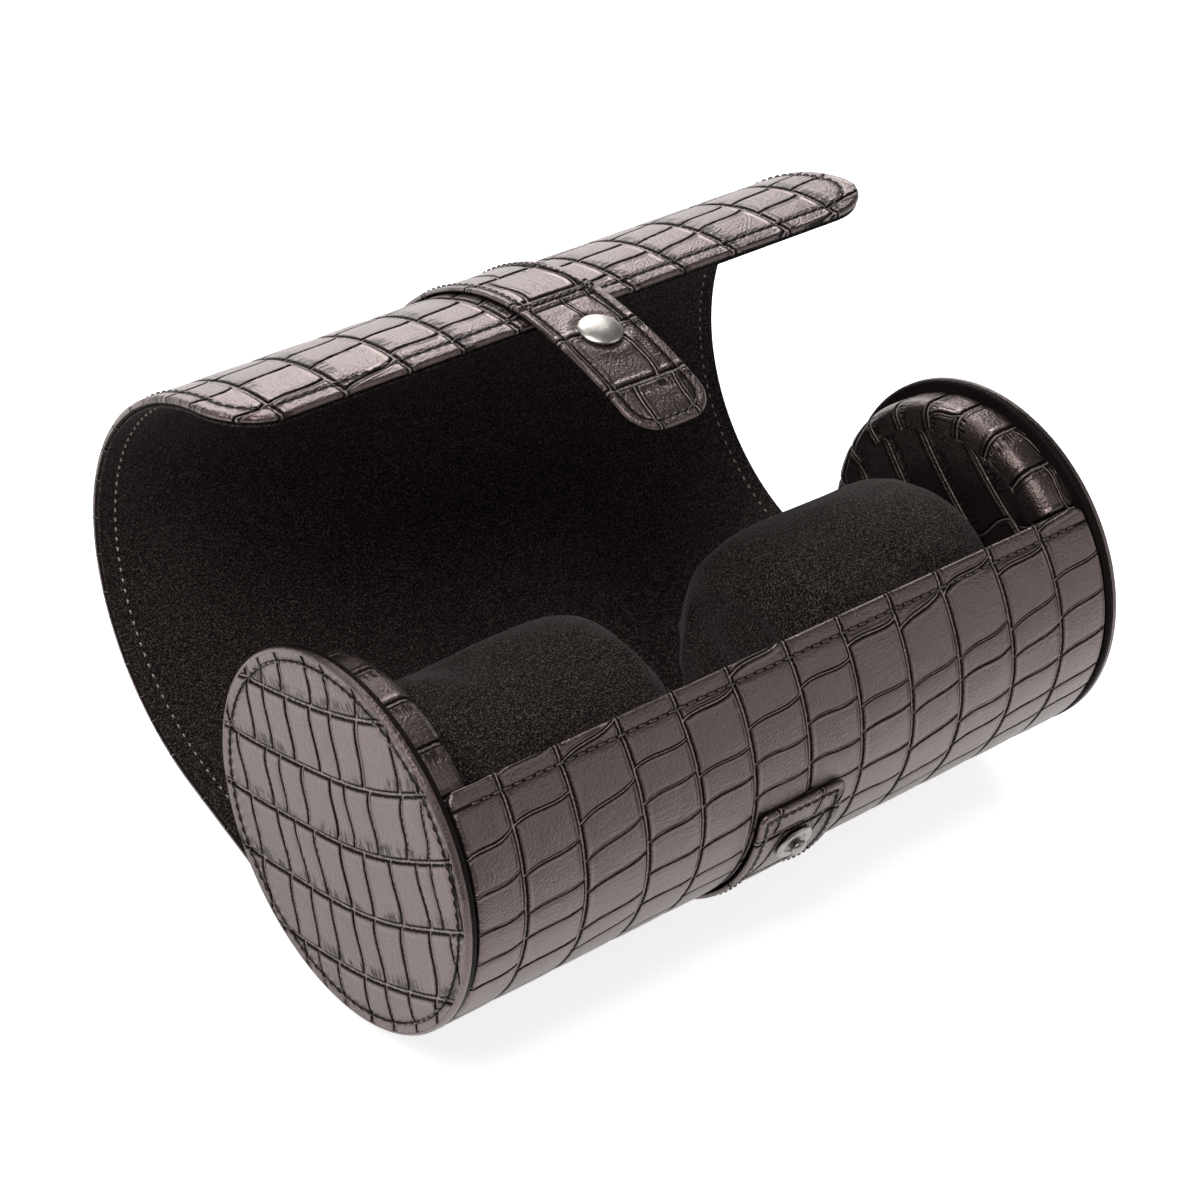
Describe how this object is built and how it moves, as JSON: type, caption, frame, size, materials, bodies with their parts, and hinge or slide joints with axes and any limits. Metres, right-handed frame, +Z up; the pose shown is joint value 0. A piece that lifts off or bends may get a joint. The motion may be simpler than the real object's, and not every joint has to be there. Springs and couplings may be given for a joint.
{
  "type": "watch storage case",
  "caption": "Cylindrical travel case for wrist watches: embossed leatherette wrap that folds over as a lid, strap with a snap, velvet lining and lift-out pillows.",
  "frame": {"origin": "on the table, on the flat underside of the strap, below the case's long axis and midway between the end faces", "axes": "+X along the case, +Y to the back where the open lid lies, +Z up"},
  "size_m": [0.175, 0.142, 0.1033],
  "materials": {
    "leatherette": "semi-gloss croc emboss",
    "velvet": "short pile velvet",
    "board": "grey board",
    "foam": "foam",
    "nickel": "satin nickel"
  },
  "bodies": {
    "base": {"base_board": "board", "base_lining": "velvet", "base_skin": "leatherette", "base_strap": "leatherette", "left_cap_core": "board", "left_cap_face": "leatherette", "left_cap_lining": "leatherette", "left_cap_wrap": "leatherette", "right_cap_core": "board", "right_cap_face": "leatherette", "right_cap_lining": "leatherette", "right_cap_wrap": "leatherette", "snap_stud": "nickel", "stud_washer": "nickel"},
    "hinge_a": {"hinge_a_lining": "velvet", "hinge_a_skin": "leatherette", "hinge_a_strap": "leatherette"},
    "hinge_b": {"hinge_b_lining": "velvet", "hinge_b_skin": "leatherette", "hinge_b_strap": "leatherette"},
    "lid_lower": {"lid_lower_board": "board", "lid_lower_lining": "velvet", "lid_lower_skin": "leatherette", "lid_lower_strap": "leatherette"},
    "lid_middle": {"lid_middle_board": "board", "lid_middle_lining": "velvet", "lid_middle_skin": "leatherette", "lid_middle_strap": "leatherette"},
    "lid_upper": {"lid_upper_board": "board", "lid_upper_lining": "velvet", "lid_upper_skin": "leatherette", "lid_upper_strap": "leatherette"},
    "tongue": {"snap_cap": "nickel", "snap_socket": "nickel", "tongue_backing": "leatherette", "tongue_strap": "leatherette"},
    "left_pillow": {"left_pillow_core": "foam", "left_pillow_cover": "velvet"},
    "right_pillow": {"right_pillow_core": "foam", "right_pillow_cover": "velvet"}
  },
  "joints": [
    {"name": "lid_fold", "type": "hinge", "parent": "base", "child": "hinge_a", "pos_m": [0, 0.016, 0.004], "axis": [1, 0, 0], "range_deg": [0, 35]},
    {"name": "hinge_b_fold", "type": "hinge", "parent": "hinge_a", "child": "hinge_b", "pos_m": [0, 0.0317, 0.004], "axis": [1, 0, 0], "range_deg": [-0.1, 20.9]},
    {"name": "lid_lower_fold", "type": "hinge", "parent": "hinge_b", "child": "lid_lower", "pos_m": [0, 0.0474, 0.004], "axis": [1, 0, 0], "range_deg": [-0.1, 16.4]},
    {"name": "lid_middle_fold", "type": "hinge", "parent": "lid_lower", "child": "lid_middle", "pos_m": [0, 0.0859, 0.02434], "axis": [1, 0, 0], "range_deg": [-0.1, 9.3]},
    {"name": "lid_upper_fold", "type": "hinge", "parent": "lid_middle", "child": "lid_upper", "pos_m": [0, 0.09079, 0.0676], "axis": [1, 0, 0], "range_deg": [-0.1, 5.7]},
    {"name": "tongue_flex", "type": "hinge", "parent": "lid_upper", "child": "tongue", "pos_m": [0, 0.05775, 0.09942], "axis": [1, 0, 0], "range_deg": [-75, 14.5]},
    {"name": "left_pillow_lift", "type": "slide", "parent": "base", "child": "left_pillow", "axis": [0, 0.373, 0.9278], "range_m": [0, 0.085]},
    {"name": "right_pillow_lift", "type": "slide", "parent": "base", "child": "right_pillow", "axis": [0, 0.373, 0.9278], "range_m": [0, 0.085]}
  ],
  "couplings": [
    {"joint": "hinge_b_fold", "follows": "lid_fold", "ratio": 0.59429},
    {"joint": "lid_lower_fold", "follows": "lid_fold", "ratio": 0.46571},
    {"joint": "lid_middle_fold", "follows": "lid_fold", "ratio": 0.26286},
    {"joint": "lid_upper_fold", "follows": "lid_fold", "ratio": 0.16}
  ]
}
